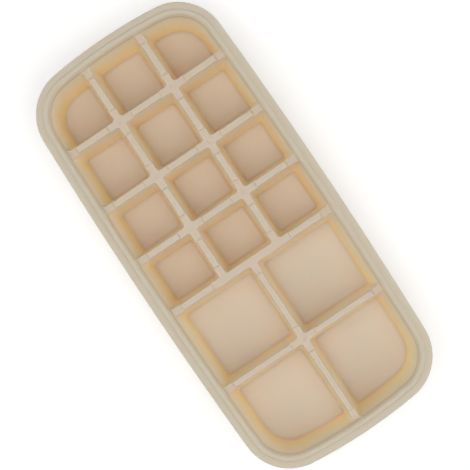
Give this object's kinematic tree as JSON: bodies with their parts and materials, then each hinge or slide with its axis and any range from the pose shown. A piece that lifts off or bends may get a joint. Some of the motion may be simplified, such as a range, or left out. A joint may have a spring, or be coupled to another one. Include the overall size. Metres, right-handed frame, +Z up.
{
  "type": "silicone ice cube tray",
  "caption": "Rounded rectangular silicone freezer tray with small square cells at one end, large square cells at the other, and a beaded rim.",
  "frame": {"origin": "centre of the tray's footprint, on the surface that it stands on", "axes": "+X along the tray towards the large cells, +Y across it, +Z up out of the cells"},
  "size_m": [0.25, 0.116, 0.0355],
  "materials": {
    "silicone": "satin, slightly translucent beige silicone"
  },
  "bodies": {
    "root": {"tray": "silicone"}
  },
  "joints": []
}
